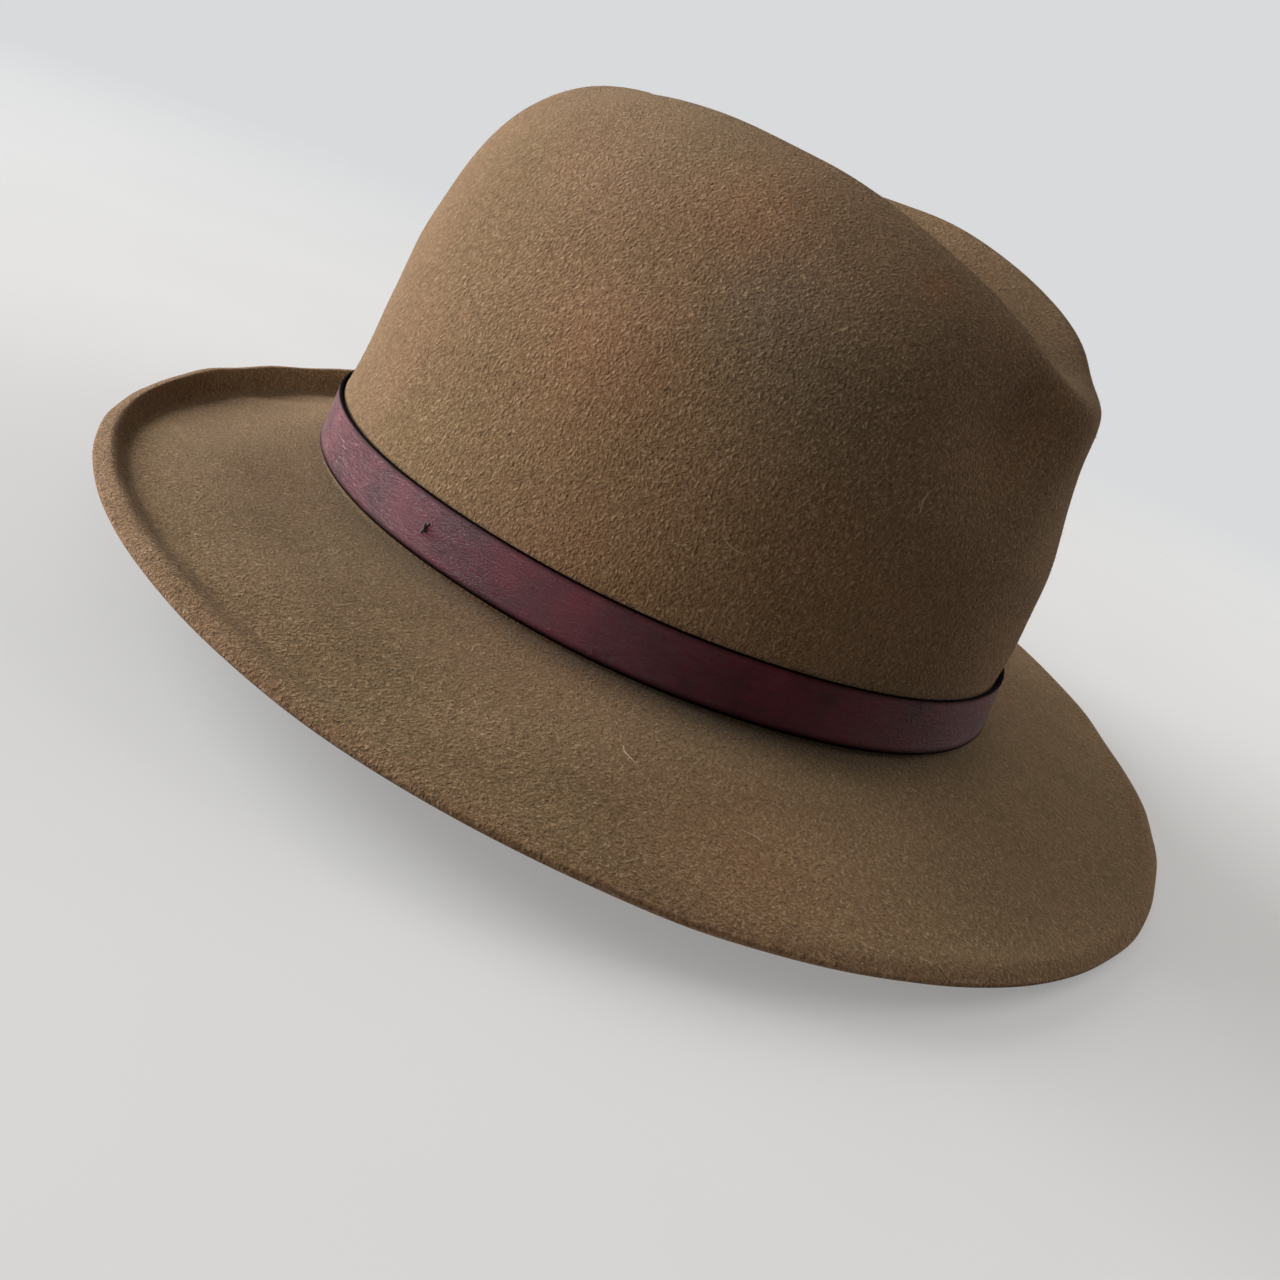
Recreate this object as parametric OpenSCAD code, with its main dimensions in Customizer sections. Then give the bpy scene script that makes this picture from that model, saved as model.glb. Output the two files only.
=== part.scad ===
// Fedora hat: one blocked felt, a leather band outside, and the sweatband,
// reed, lining and trims that sit inside it.
// +X is the wearer's front, +Y the wearer's left and +Z up. The origin is the
// centre of the head opening, in the plane where the crown meets the brim.
// Lengths are in millimetres. phi is the angle round the hat, from the front.

/* [Head opening] */
// Half the outer length of the crown where it meets the brim
base_half_length = 105; // [100:0.5:110]
// Half the outer width of the crown where it meets the brim
base_half_width = 90; // [86:0.5:94]
// How much the base oval narrows towards the front
base_egg = 0.02; // [0:0.01:0.06]

/* [Felt] */
// Thickness of the felt
felt_thickness = 2.4; // [2:0.1:2.8]
// How far the rounded cut edge of the brim bulges
edge_bulge = 0.6; // [0.2:0.1:1]

/* [Crown] */
// Height of the ridge round the top dent, at the sides
ridge_height = 116; // [112:1:120]
// How far the ridge swells up on the wearer's right
ridge_swell = 2.5; // [0:0.5:4]
// How far the ridge sinks on the wearer's left
ridge_sink = 2; // [0:0.5:3]
// Centre of the ridge oval, ahead of the origin
ridge_centre_x = 19.5; // [17:0.5:22]
// Reach of the ridge in front of its centre
ridge_front = 75.5; // [72:0.5:78]
// Reach of the ridge behind its centre
ridge_back = 69.5; // [66:0.5:74]
// Half the width of the ridge oval
ridge_half_width = 33; // [30:0.5:36]
// How much the ridge oval narrows towards the front, as a teardrop does
ridge_egg = 0.25; // [0.1:0.01:0.35]
// How far the ridge falls to the front tip
ridge_fall_front = 26; // [22:0.5:28]
// How far the ridge falls at the back
ridge_fall_back = 0; // [-3:0.5:4]
// Depth of the dent in the middle of the top
top_dent_depth = 22; // [16:1:25]
// Depth of the finger hollow on each side of the front tip
pinch_depth = 6; // [3:0.5:8]
// Depth of the soft hollow on the wearer's right side
side_hollow_depth = 2; // [0:0.5:4]

/* [Brim] */
// Mean width of the brim
brim_width = 58; // [54:1:62]
// How much wider the front of the brim is than the mean
brim_width_front = 12; // [8:0.5:14]
// Extra width of the front and back over the mean, so that a negative number is narrower
brim_width_ends = -11.5; // [-12:0.5:-6]
// Extra width in the middle of the back
brim_width_back = 8; // [4:1:12]
// Mean rise of the brim from the crown to its edge
brim_rise = -7; // [-9:0.5:-5]
// Extra rise of the front, so that a negative number is the snapped-down front
brim_rise_front = -3; // [-6:0.5:0]
// Extra rise of the front and back over the mean
brim_rise_ends = -10; // [-12:0.5:-6]
// Mean curl of the outer part of the brim
brim_curl = -1; // [-3:0.5:2]
// Extra curl of the front and back over the mean
brim_curl_ends = 6.5; // [3:0.5:8]
// Mean height of the lip at the edge
lip_height = 2; // [1:0.5:4]
// Extra lip at the front, so that a negative number turns the back up more
lip_front = -4; // [-5:0.5:0]
// How sharply the lip turns, as the power of its curve
lip_turn = 24; // [14:1:26]

/* [Front snap] */
// Distance from the origin to the line about which the front brim turns
snap_line_x = 109; // [108.5:0.5:112]
// Width of the gap that lets the front lobe turn
snap_gap = 2.4; // [1.6:0.2:3]

/* [Leather band] */
// Height of the band
band_height = 16; // [14:0.5:18]
// Thickness of the band leather
band_thickness = 1.4; // [1:0.1:1.8]
// How far the band leans in from its lower edge to its upper edge
band_taper = 1.8; // [1.5:0.1:3]
// Length of the lap where the band's ends meet
band_lap_length = 22; // [16:1:30]
// Angle of the lap's end, on the wearer's left
band_lap_phi = 118; // [100:1:150]

/* [Sweatband] */
// Thickness of the sweatband leather
sweat_thickness = 1.0; // [0.8:0.1:1.2]
// Radius of the reed in the sweatband's lower edge
reed_radius = 0.8; // [0.6:0.1:1]

/* [Hidden] */

// Points round each ring of the felt, and round each strip and cord inside it
felt_steps = 72;
strip_steps = 72;
// Clearance between neighbouring layers
layer_gap = 0.25;
// Lining cloth thickness
lining_thickness = 0.3;
// Depths below the felt's outer face of the inside layers
lining_out = felt_thickness + 2 * layer_gap;
lining_in = lining_out + lining_thickness;
tape_thickness = 0.3;
tape_out = lining_in + layer_gap;
tape_in = tape_out + tape_thickness;
sweat_out = tape_in + layer_gap;
sweat_in = sweat_out + sweat_thickness;
// Half the angle of the butt joint at the back of the sweatband
sweat_joint = 0.4;
// Thread radius
thread_radius = 0.3;

// An oval is [centre x, front reach, back reach, half width, egg, height,
// tilt, dip in front, dip behind].
BASE = [0, base_half_length, base_half_length, base_half_width, base_egg, 0, 0, 0, 0];
BAND_TOP = [0, base_half_length - band_taper, base_half_length - band_taper,
            base_half_width - band_taper, base_egg, band_height, 0, 0, 0];
FLANK = [0, 106, 96.5, 76.5, base_egg, 50, 0, 0, 0];
SHOULDER = [0, 94.5, 112, 73.5, -0.04, 103, -3, -17, 1];
RIDGE = [ridge_centre_x, ridge_front, ridge_back, ridge_half_width, ridge_egg,
         ridge_height, 0, -ridge_fall_front, -ridge_fall_back];

function cubic(a, b, c, d, s) =
    pow(1 - s, 3) * a + 3 * s * pow(1 - s, 2) * b + 3 * s * s * (1 - s) * c + pow(s, 3) * d;
function unit(v) = v / norm(v);

// Point of an oval at the angle phi
function oval_point(phi, o) =
    let (c = cos(phi), s = sin(phi))
    [o[0] + (c > 0 ? o[1] : o[2]) * c,
     o[3] * s * (1 - o[4] * c),
     o[5] + o[6] * c + (c > 0 ? o[7] : o[8]) * c * c];

// Level direction straight out of the base oval
function outward(phi) = unit([cos(phi) * base_half_width, sin(phi) * base_half_length, 0]);

// A smooth bump of height 1 at 0 that fades over about one unit
function bump(x) = exp(-x * x);
function hollow(phi, s, phi_at, phi_wide, s_at, s_wide) =
    bump((phi - phi_at) / phi_wide) * bump((s - s_at) / s_wide);
// Inward dents of the crown wall: two finger hollows and the soft side hollow
function dents(phi, s) =
    let (p = phi > 180 ? phi - 360 : phi)
    pinch_depth * (hollow(p, s, 25, 12, 0.70, 0.22) + hollow(p, s, -25, 12, 0.70, 0.22))
    + side_hollow_depth * hollow(p, s, -84, 11, 0.66, 0.16);

// Rise of the ridge on the wearer's right, and its fall on the left
function swell(phi, s) =
    pow(s, 3) * (ridge_swell * bump(((phi + 112 + 540) % 360 - 180) / 28)
                 - ridge_sink * bump(((phi - 125 + 540) % 360 - 180) / 32));

// Crown wall: w = 0 at the brim, 1 at the band's upper edge, 2 at the ridge
function wall_point(phi, w) =
    w < 1
    ? oval_point(phi, BASE) * (1 - w) + oval_point(phi, BAND_TOP) * w
    : cubic(oval_point(phi, BAND_TOP), oval_point(phi, FLANK), oval_point(phi, SHOULDER),
            oval_point(phi, RIDGE), w - 1)
      - dents(phi, w - 1) * outward(phi) + [0, 0, swell(phi, w - 1)];

// Top of the crown inside the ridge: r = 0 in the middle, 1 at the ridge
function top_point(phi, r) =
    let (edge = wall_point(phi, 2), fade = 1 - r * r)
    [ridge_centre_x + (edge[0] - ridge_centre_x) * r,
     edge[1] * r,
     edge[2] * r * r + ridge_height * fade - top_dent_depth * pow(fade, 1.4)];

// Upper face of the brim: t = 0 at the crown, 1 at the edge
function brim_point(phi, t) =
    let (c = cos(phi), c2 = cos(2 * phi),
         back = bump(((phi + 360) % 360 - 180) / 35),
         width = brim_width + brim_width_front * c + brim_width_ends * c2 + brim_width_back * back,
         rise = brim_rise + brim_rise_front * c + brim_rise_ends * c2 - brim_width_back * back / 3,
         curl = brim_curl + brim_curl_ends * c2,
         lip = lip_height + lip_front * c)
    oval_point(phi, BASE) + t * width * outward(phi)
    + [0, 0, rise * t + curl * pow(t, 4) + lip * pow(t, lip_turn)];

// The whole outer face: v = 0 to 1 is the top, 1 to 3 the wall and 3 to 4 the brim
function felt_point(phi, v) =
    v < 1 ? top_point(phi, v) : v < 3 ? wall_point(phi, 3 - v) : brim_point(phi, v - 3);
function felt_normal(phi, v) =
    unit(cross(felt_point(phi + 1, v) - felt_point(phi - 1, v),
               felt_point(phi, v - 0.03) - felt_point(phi, v + 0.03)));
function felt_below(phi, v, depth) = felt_point(phi, v) - depth * felt_normal(phi, v);

function wall_normal(phi, w) =
    unit(cross(wall_point(phi + 1, w) - wall_point(phi - 1, w),
               wall_point(phi, w + 0.02) - wall_point(phi, w - 0.02)));
function wall_below(phi, w, depth) = wall_point(phi, w) - depth * wall_normal(phi, w);

// Closed solid from rings that run from one pole to the other
module spindle(rings, first_pole, last_pole) {
    n = len(rings[0]);
    m = len(rings);
    last = m * n + 1;
    points = concat([first_pole], [for (ring = rings) each ring], [last_pole]);
    sides = [for (i = [0:m - 2], j = [0:n - 1])
             let (k = (j + 1) % n, a = 1 + i * n + j, b = 1 + i * n + k)
             each [[a, b, b + n], [a, b + n, a + n]]];
    first_cap = [for (j = [0:n - 1]) [0, 1 + (j + 1) % n, 1 + j]];
    last_cap = [for (j = [0:n - 1]) [last, last - n + j, last - n + (j + 1) % n]];
    polyhedron(points, concat(sides, first_cap, last_cap), convexity = 8);
}

// Closed solid swept through cross-sections; round ones join end to start
module sweep(sections, closed) {
    n = len(sections[0]);
    m = len(sections);
    points = [for (section = sections) each section];
    sides = [for (i = [0:m - (closed ? 1 : 2)], j = [0:n - 1])
             let (k = (j + 1) % n, here = i * n, next = ((i + 1) % m) * n)
             each [[here + k, next + k, next + j], [here + k, next + j, here + j]]];
    start_cap = [for (j = [1:n - 2]) [0, j + 1, j]];
    end_cap = [for (j = [1:n - 2]) [(m - 1) * n, (m - 1) * n + j, (m - 1) * n + j + 1]];
    polyhedron(points, closed ? sides : concat(sides, start_cap, end_cap), convexity = 8);
}

// Angles of a whole turn, or of the stretch from one angle to another
function turn(steps) = [for (i = [0:steps - 1]) i * 360 / steps];
function stretch(from, to, steps) = [for (i = [0:steps]) from + (to - from) * i / steps];

// Cross-sections of a strip that follows the wall between two depths
function strip_sections(angles, heights, depth_out, depth_in) =
    [for (phi = angles)
     concat([for (w = heights) wall_below(phi, w, depth_out)],
            [for (i = [len(heights) - 1:-1:0]) wall_below(phi, heights[i], depth_in)])];

// Cross-sections of a round cord that follows the wall
function cord_sections(w, depth, drop, radius, sides) =
    [for (phi = turn(strip_steps))
     let (centre = wall_below(phi, w, depth) - [0, 0, drop])
     [for (k = [0:sides - 1])
      centre + radius * (cos(k * 360 / sides) * outward(phi) + sin(k * 360 / sides) * [0, 0, 1])]];

// Puts children on the wall, with their +X out of it and their +Z up
module on_wall(phi, w, depth) {
    n = outward(phi);
    translate(wall_below(phi, w, depth)) rotate([0, 0, atan2(n[1], n[0])]) children();
}

// Profile of the whole felt, closer together at the ridge and at the edge
PROFILE = [0.16, 0.32, 0.48, 0.64, 0.78, 0.90, 1.0, 1.06, 1.14, 1.24, 1.34, 1.46, 1.6, 1.8, 2.0,
           2.5, 2.97, 3.03, 3.15, 3.3, 3.45, 3.6, 3.75, 3.87, 3.95, 3.98, 4.0];

module felt_shell() {
    outer = [for (v = PROFILE) [for (phi = turn(felt_steps)) felt_point(phi, v)]];
    edge = [for (phi = turn(felt_steps))
            felt_below(phi, 4, felt_thickness / 2) + edge_bulge * outward(phi)];
    inner = [for (i = [len(PROFILE) - 1:-1:0])
             [for (phi = turn(felt_steps)) felt_below(phi, PROFILE[i], felt_thickness)]];
    middle = top_point(0, 0);
    spindle(concat(outer, [edge], inner), middle, middle - [0, 0, felt_thickness]);
}

// Everything in front of a plane across the brim
module ahead_of(x) {
    translate([x, -200, -60]) cube([120, 400, 200]);
}

module felt_body() {
    color([0.36, 0.27, 0.18]) difference() {
        felt_shell();
        ahead_of(snap_line_x - snap_gap / 2);
    }
}

module felt_brim_front() {
    color([0.33, 0.24, 0.16]) intersection() {
        felt_shell();
        ahead_of(snap_line_x + snap_gap / 2);
    }
}

// Band leather at one angle, standing a little off the wall by lift
function band_section(phi, lift) =
    let (near = -layer_gap - lift, far = near - band_thickness, low = 0.07, high = 1)
    [wall_below(phi, low, far), wall_below(phi, high, far),
     wall_below(phi, high, near), wall_below(phi, low, near)];

module hat_band() {
    lap_angle = band_lap_length / base_half_length * 57.3;
    lap_lift = band_thickness + layer_gap;
    begin = band_lap_phi;
    under = [for (phi = stretch(begin, begin + lap_angle, 4)) band_section(phi, 0)];
    round = [for (phi = stretch(begin + lap_angle + 4, begin + 352, 76)) band_section(phi, 0)];
    over = [for (phi = stretch(begin + 360, begin + 360 + lap_angle, 4)) band_section(phi, lap_lift)];
    color([0.26, 0.12, 0.15]) sweep(concat(under, round, over), false);
}

// One short thread that lies across the band at a slant
module thread(length, slant) {
    rotate([slant, 0, 0]) cylinder(r = thread_radius, h = length, center = true, $fn = 16);
}

module band_tacks() {
    tack_depth = -(layer_gap + band_thickness + thread_radius + 0.05);
    color([0.05, 0.05, 0.05])
    for (phi = [-96, 84], slant = [-18, 14])
    on_wall(phi, 0.53, tack_depth) translate([slant > 0 ? 0.65 : 0, 0, 0]) thread(3.2, slant);
}

module band_lap_stitches() {
    seam_phi = band_lap_phi + band_lap_length / base_half_length * 57.3 - 2;
    depth = -(2 * layer_gap + 2 * band_thickness + thread_radius + 0.05);
    color([0.08, 0.05, 0.06])
    for (w = [0.2:0.2:0.8]) on_wall(seam_phi, w, depth) thread(2.2, 0);
}

module sweatband() {
    heights = [0.0, 0.5, 1.0, 1.1, 1.18];
    color([0.30, 0.19, 0.12])
    sweep(strip_sections(stretch(180 + sweat_joint, 540 - sweat_joint, strip_steps), heights,
                         sweat_out, sweat_in), false);
}

// Centre of the reed, below the sweatband's lower edge
reed_depth = (sweat_out + sweat_in) / 2;
reed_drop = 1.7;

module sweatband_reed() {
    color([0.85, 0.84, 0.78]) sweep(cord_sections(0, reed_depth, reed_drop, reed_radius, 8), true);
}

module reed_tape() {
    color([0.20, 0.16, 0.13]) difference() {
        sweep(cord_sections(0, reed_depth, reed_drop, reed_radius + 0.5, 10), true);
        sweep(cord_sections(0, reed_depth, reed_drop, reed_radius + 0.2, 10), true);
    }
}

module sweatband_stitching() {
    color([0.55, 0.45, 0.33])
    for (phi = [-172:8:172]) on_wall(phi, 0.12, sweat_in + thread_radius + 0.35) thread(4.5, 90);
}

module sweatband_back_tape() {
    heights = [0.08, 0.5, 1.0, 1.1];
    color([0.22, 0.18, 0.15])
    sweep(strip_sections(stretch(176, 184, 4), heights, tape_out, tape_in), false);
}

module sweatband_seam_stitches() {
    color([0.55, 0.45, 0.33])
    for (w = [0.2:0.17:1.05], slant = [-28, 28])
    on_wall(180, w, sweat_in + thread_radius + (slant > 0 ? 0.85 : 0.2)) thread(3.6, slant);
}

// Flat loop of ribbon that reaches sideways from the knot
module ribbon_loop(length, width, half_depth, thickness) {
    linear_extrude(width, center = true) difference() {
        hull() for (y = [half_depth, length - half_depth]) translate([0, y]) circle(half_depth, $fn = 24);
        hull() for (y = [half_depth, length - half_depth])
        translate([0, y]) circle(half_depth - thickness, $fn = 24);
    }
}

module sweatband_bow() {
    ribbon_width = 5;
    color([0.16, 0.12, 0.10])
    on_wall(180, 0.55, sweat_in + 3.6) {
        for (side = [0, 180]) rotate([side, 0, 0]) translate([0, 0.6, 0])
        ribbon_loop(9.5, ribbon_width, 1.3, 0.5);
        cube([3.2, 2.6, 5.6], center = true);
    }
}

// Place on the felt's profile of the seam between the lining's wall and top
LINING_SEAM = 1.34;

// Rings of lining that follow the felt's own profile, below its outer face
function lining_rings(places, depth) =
    [for (v = places) [for (phi = turn(strip_steps)) felt_below(phi, v, depth)]];
function reversed(list) = [for (i = [len(list) - 1:-1:0]) list[i]];

module lining_side() {
    places = [LINING_SEAM + 0.01, 1.46, 1.6, 1.8, 2.0, 2.5];
    outer = lining_rings(places, lining_out);
    inner = lining_rings(places, lining_in);
    sections = [for (j = [0:strip_steps - 1])
                concat([for (ring = reversed(outer)) ring[j]], [for (ring = inner) ring[j]])];
    color([0.34, 0.20, 0.16]) sweep(sections, true);
}

module lining_tip() {
    places = [for (v = PROFILE) if (v < LINING_SEAM) v, LINING_SEAM - 0.01];
    middle = top_point(0, 0);
    color([0.36, 0.21, 0.17])
    spindle(concat(lining_rings(places, lining_out), lining_rings(reversed(places), lining_in)),
            middle - [0, 0, lining_out], middle - [0, 0, lining_in]);
}

module lining_piping() {
    cord = 0.9;
    color([0.24, 0.13, 0.10])
    sweep(cord_sections(3 - LINING_SEAM, lining_in + cord + 0.5, 0, cord, 8), true);
}

module size_tab() {
    heights = [1.2, 1.26, 1.32];
    color([0.82, 0.79, 0.70])
    sweep(strip_sections(stretch(150, 158, 4), heights, lining_in + 0.5, lining_in + 0.85), false);
}

felt_body();
felt_brim_front();
hat_band();
band_tacks();
band_lap_stitches();
sweatband();
sweatband_reed();
reed_tape();
sweatband_stitching();
sweatband_back_tape();
sweatband_seam_stitches();
sweatband_bow();
lining_side();
lining_tip();
lining_piping();
size_tab();
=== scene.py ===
import math

import bpy
import numpy as np
from mathutils import Matrix, Vector


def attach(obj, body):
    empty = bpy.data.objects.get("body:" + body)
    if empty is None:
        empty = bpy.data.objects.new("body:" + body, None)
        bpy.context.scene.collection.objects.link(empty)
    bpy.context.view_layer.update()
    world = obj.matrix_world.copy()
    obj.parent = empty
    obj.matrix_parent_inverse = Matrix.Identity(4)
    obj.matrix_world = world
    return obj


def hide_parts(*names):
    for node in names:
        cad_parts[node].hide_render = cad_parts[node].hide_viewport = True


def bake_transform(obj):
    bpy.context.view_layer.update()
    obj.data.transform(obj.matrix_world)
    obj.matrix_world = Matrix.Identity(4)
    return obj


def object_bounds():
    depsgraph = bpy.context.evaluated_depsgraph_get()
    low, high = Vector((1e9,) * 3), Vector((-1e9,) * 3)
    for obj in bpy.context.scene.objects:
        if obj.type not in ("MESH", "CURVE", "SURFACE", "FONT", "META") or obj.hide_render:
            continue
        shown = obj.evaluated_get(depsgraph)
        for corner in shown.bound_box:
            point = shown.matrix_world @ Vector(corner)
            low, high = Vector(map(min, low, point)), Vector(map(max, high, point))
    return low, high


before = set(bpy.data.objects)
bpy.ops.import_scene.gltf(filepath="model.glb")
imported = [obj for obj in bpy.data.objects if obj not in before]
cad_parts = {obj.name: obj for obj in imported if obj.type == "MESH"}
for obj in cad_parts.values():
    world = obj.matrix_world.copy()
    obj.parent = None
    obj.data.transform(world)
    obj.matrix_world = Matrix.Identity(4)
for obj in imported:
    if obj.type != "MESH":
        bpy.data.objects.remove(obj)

CAD_BOX = [list(corner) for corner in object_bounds()]
MM = 0.001
rng = np.random.default_rng(20)

# ---------------------------------------------------------------------------
# Shape of the felt, in millimetres, by the same rules as the CAD part.
# phi is the angle round the hat from the front, in radians.
# ---------------------------------------------------------------------------
FELT = 2.4
BASE_L, BASE_W, EGG = 105.0, 90.0, 0.02
BAND_H, TAPER, BAND_T = 16.0, 1.8, 1.15
GAP = 0.25
TOP_DENT, PINCH, SIDE_HOLLOW = 22.0, 6.0, 2.0
RIDGE_SWELL, RIDGE_SINK = 2.5, 2
LIP_TURN = 24

# Shape of the brim: its mean, what the front adds, what the front and back add together
# and, for the width, what the middle of the back adds
WIDTH, WIDTH_FRONT, WIDTH_ENDS, WIDTH_BACK = 58, 12, -11.5, 8
RISE, RISE_FRONT, RISE_ENDS = -7, -3, -10
CURL, CURL_ENDS = -1, 6.5
LIP, LIP_FRONT = 2, -4

# Mean radii that turn an angle into a length round the band, sweatband and lining
BAND_RADIUS, SWEAT_RADIUS, LINING_RADIUS = 98, 95, 80

# centre x, front reach, back reach, half width, egg, height, tilt, dip front, dip back
BASE = (0, BASE_L, BASE_L, BASE_W, EGG, 0, 0, 0, 0)
BAND_TOP = (0, BASE_L - TAPER, BASE_L - TAPER, BASE_W - TAPER, EGG, BAND_H, 0, 0, 0)
FLANK = (0, 106, 96.5, 76.5, EGG, 50, 0, 0, 0)
SHOULDER = (0, 94.5, 112, 73.5, -0.04, 103, -3, -17, 1)
RIDGE = (19.5, 75.5, 69.5, 33, 0.25, 116, 0, -26, 0)

LINING_OUT = FELT + 2 * GAP
LINING_IN = LINING_OUT + 0.3
SWEAT_OUT = LINING_IN + GAP + 0.3 + GAP
SWEAT_IN = SWEAT_OUT + 1.0
LINING_SEAM = 1.34


def xyz(x, y, z):
    x, y, z = np.broadcast_arrays(x, y, z)
    return np.stack([x, y, z], -1).astype(float)


def oval(phi, o):
    c, s = np.cos(phi), np.sin(phi)
    front = c > 0
    return xyz(o[0] + np.where(front, o[1], o[2]) * c,
               o[3] * s * (1 - o[4] * c),
               o[5] + o[6] * c + np.where(front, o[7], o[8]) * c * c)


def unit(v):
    return v / np.linalg.norm(v, axis=-1, keepdims=True)


def outward(phi):
    return unit(xyz(np.cos(phi) * BASE_W, np.sin(phi) * BASE_L, 0.0))


def bump(x):
    return np.exp(-x * x)


def degrees_from(phi, at):
    return (np.degrees(phi) - at + 180) % 360 - 180


def hollow(phi, s, at, wide, s_at, s_wide):
    return bump(degrees_from(phi, at) / wide) * bump((s - s_at) / s_wide)


def dents(phi, s):
    pinch = hollow(phi, s, 25, 12, 0.70, 0.22) + hollow(phi, s, -25, 12, 0.70, 0.22)
    return PINCH * pinch + SIDE_HOLLOW * hollow(phi, s, -84, 11, 0.66, 0.16)


def swell(phi, s):
    """Rise of the ridge on the wearer's right, and its fall on the left."""
    up = RIDGE_SWELL * bump(degrees_from(phi, -112) / 28)
    down = RIDGE_SINK * bump(degrees_from(phi, 125) / 32)
    return s ** 3 * (up - down)


def wall_point(phi, w):
    """Crown wall: w = 0 at the brim, 1 at the band's upper edge, 2 at the ridge."""
    phi, w = np.broadcast_arrays(phi, w)
    low = w[..., None]
    straight = oval(phi, BASE) * (1 - low) + oval(phi, BAND_TOP) * low
    s = np.clip(w - 1, 0, None)[..., None]
    curved = ((1 - s) ** 3 * oval(phi, BAND_TOP) + 3 * s * (1 - s) ** 2 * oval(phi, FLANK)
              + 3 * s * s * (1 - s) * oval(phi, SHOULDER) + s ** 3 * oval(phi, RIDGE))
    curved = curved - dents(phi, s[..., 0])[..., None] * outward(phi)
    curved = curved + xyz(0.0, 0.0, swell(phi, s[..., 0]))
    return np.where(low < 1, straight, curved)


def top_point(phi, r):
    """Top of the crown inside the ridge: r = 0 in the middle, 1 at the ridge."""
    phi, r = np.broadcast_arrays(phi, r)
    edge = wall_point(phi, np.full_like(r, 2.0))
    fade = 1 - r * r
    dent = TOP_DENT * np.clip(fade, 0, None) ** 1.4
    return xyz(RIDGE[0] + (edge[..., 0] - RIDGE[0]) * r, edge[..., 1] * r,
               edge[..., 2] * r * r + RIDGE[5] * fade - dent)


def brim_point(phi, t):
    """Upper face of the brim: t = 0 at the crown, 1 at the edge."""
    phi, t = np.broadcast_arrays(phi, t)
    c, c2 = np.cos(phi), np.cos(2 * phi)
    back = bump(degrees_from(phi, 180) / 35)
    width = WIDTH + WIDTH_FRONT * c + WIDTH_ENDS * c2 + WIDTH_BACK * back
    rise = RISE + RISE_FRONT * c + RISE_ENDS * c2 - WIDTH_BACK * back / 3
    curl = CURL + CURL_ENDS * c2
    lip = LIP + LIP_FRONT * c
    lift = rise * t + curl * t ** 4 + lip * np.clip(t, 0, None) ** LIP_TURN
    return oval(phi, BASE) + (t * width)[..., None] * outward(phi) + xyz(0.0, 0.0, lift)


def felt_point(phi, v):
    """Outer face: v = 0 to 1 is the top, 1 to 3 the wall and 3 to 4 the brim."""
    phi, v = np.broadcast_arrays(phi, v)
    top = top_point(phi, np.clip(v, 0, 1))
    wall = wall_point(phi, np.clip(3 - v, 0, 2))
    brim = brim_point(phi, np.clip(v - 3, 0, None))
    zone = v[..., None]
    return np.where(zone < 1, top, np.where(zone < 3, wall, brim))


def wall_normal(phi, w):
    near = 0.01
    across = wall_point(phi + near, w) - wall_point(phi - near, w)
    return unit(np.cross(across, wall_point(phi, w + near) - wall_point(phi, w - near)))


def wall_below(phi, w, depth):
    depth = np.asarray(depth, float)[..., None]
    return wall_point(phi, w) - depth * wall_normal(phi, w)


def turn(n):
    """Angles of a whole turn, in n equal steps."""
    return -math.pi + np.arange(n) * 2 * math.pi / n


def ripple(p, scale, seed):
    """Smooth repeatable noise of about unit height; scale is its wavelength in mm."""
    waves = 9
    local = np.random.default_rng(seed)
    ways = unit(local.normal(size=(waves, 3)))
    phase = local.uniform(0, 2 * math.pi, waves)
    length = scale * local.uniform(0.7, 1.5, waves)
    total = sum(np.sin(2 * math.pi * (p @ way) / size + start)
                for way, size, start in zip(ways, length, phase))
    return total / math.sqrt(waves / 2)


# ---------------------------------------------------------------------------
# Meshes
# ---------------------------------------------------------------------------
def add_mesh(name, points_mm, faces, material, smooth=True):
    mesh = bpy.data.meshes.new(name)
    mesh.from_pydata((np.asarray(points_mm) * MM).tolist(), [], faces)
    mesh.polygons.foreach_set("use_smooth", [smooth] * len(mesh.polygons))
    mesh.materials.append(material)
    mesh.update()
    piece = bpy.data.objects.new(name, mesh)
    bpy.context.scene.collection.objects.link(piece)
    return piece


def store(piece, name, values):
    """Keeps one number, or one vector, per point for the material to read."""
    values = np.asarray(values, np.float32)
    kind, key = ("FLOAT", "value") if values.ndim == 1 else ("FLOAT_VECTOR", "vector")
    attribute = piece.data.attributes.new(name, kind, "POINT")
    attribute.data.foreach_set(key, values.ravel())


def grid_faces(rows, columns, wrap_rows=False, first=0):
    """Quads over a grid of points, seen the right way round from outside."""
    i = np.arange(rows if wrap_rows else rows - 1)[:, None]
    j = np.arange(columns)[None, :]
    here, below = i * columns, ((i + 1) % rows) * columns
    right = (j + 1) % columns
    quads = np.stack(np.broadcast_arrays(here + j, below + j, below + right, here + right), -1)
    return (quads.reshape(-1, 4) + first).tolist()


def spindle(name, rings, first_pole, last_pole, material):
    """Closed mesh from rings that run from one pole to the other."""
    m, n = rings.shape[:2]
    points = np.concatenate([[first_pole], rings.reshape(-1, 3), [last_pole]])
    faces = grid_faces(m, n, first=1)
    last = m * n + 1
    faces += [[0, 1 + j, 1 + (j + 1) % n] for j in range(n)]
    faces += [[last, last - n + (j + 1) % n, last - n + j] for j in range(n)]
    return add_mesh(name, points, faces, material)


def sweep(name, sections, closed, material):
    """Closed mesh through cross-sections that run outside, up, inside and down."""
    m, k = sections.shape[:2]
    faces = grid_faces(m, k, wrap_rows=closed)
    if not closed:
        faces.append(list(range(k)))
        faces.append([(m - 1) * k + j for j in range(k - 1, -1, -1)])
    return add_mesh(name, sections.reshape(-1, 3), faces, material)


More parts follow.
